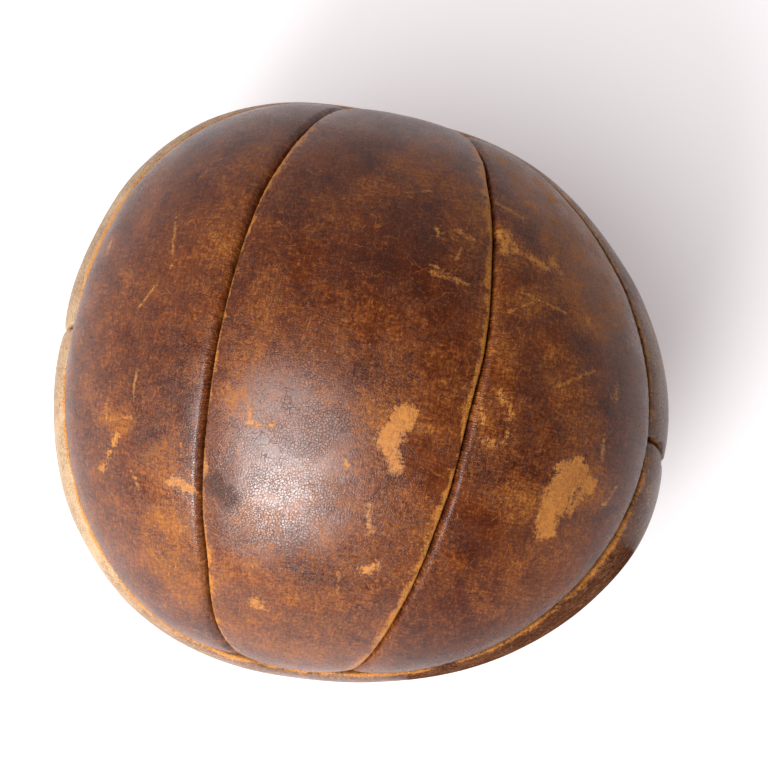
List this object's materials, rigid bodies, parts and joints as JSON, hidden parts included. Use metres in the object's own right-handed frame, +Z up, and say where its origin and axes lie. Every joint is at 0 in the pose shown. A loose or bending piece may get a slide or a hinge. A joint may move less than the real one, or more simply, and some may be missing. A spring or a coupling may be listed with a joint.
{
  "type": "medicine ball",
  "caption": "Worn leather medicine ball of sewn, canvas-lined panels round a hair stuffing, sagged and resting on a flat spot.",
  "frame": {"origin": "on the resting surface, under the middle of the ball", "axes": "+Z up through the middle of the upper cap, +Y along the upper cap's strips, +X across them"},
  "size_m": [0.308, 0.291, 0.2704],
  "materials": {
    "cap_leather": "satin",
    "belt_leather": "satin",
    "canvas": "matte",
    "waxed_thread": "satin",
    "hair": "matte"
  },
  "bodies": {
    "root": {"top_left_panel": "cap_leather", "top_centre_panel": "cap_leather", "top_right_panel": "cap_leather", "bottom_front_panel": "cap_leather", "bottom_centre_panel": "cap_leather", "bottom_back_panel": "cap_leather", "belt_front_panel": "belt_leather", "belt_back_panel": "belt_leather", "top_left_lining": "canvas", "top_centre_lining": "canvas", "top_right_lining": "canvas", "bottom_front_lining": "canvas", "bottom_centre_lining": "canvas", "bottom_back_lining": "canvas", "belt_front_lining": "canvas", "belt_back_lining": "canvas", "top_left_seam_thread": "waxed_thread", "top_right_seam_thread": "waxed_thread", "bottom_front_seam_thread": "waxed_thread", "bottom_back_seam_thread": "waxed_thread", "top_rim_seam_thread": "waxed_thread", "bottom_rim_seam_thread": "waxed_thread", "belt_left_seam_thread": "waxed_thread", "belt_right_closing_thread": "waxed_thread", "hair_stuffing": "hair"}
  },
  "joints": []
}
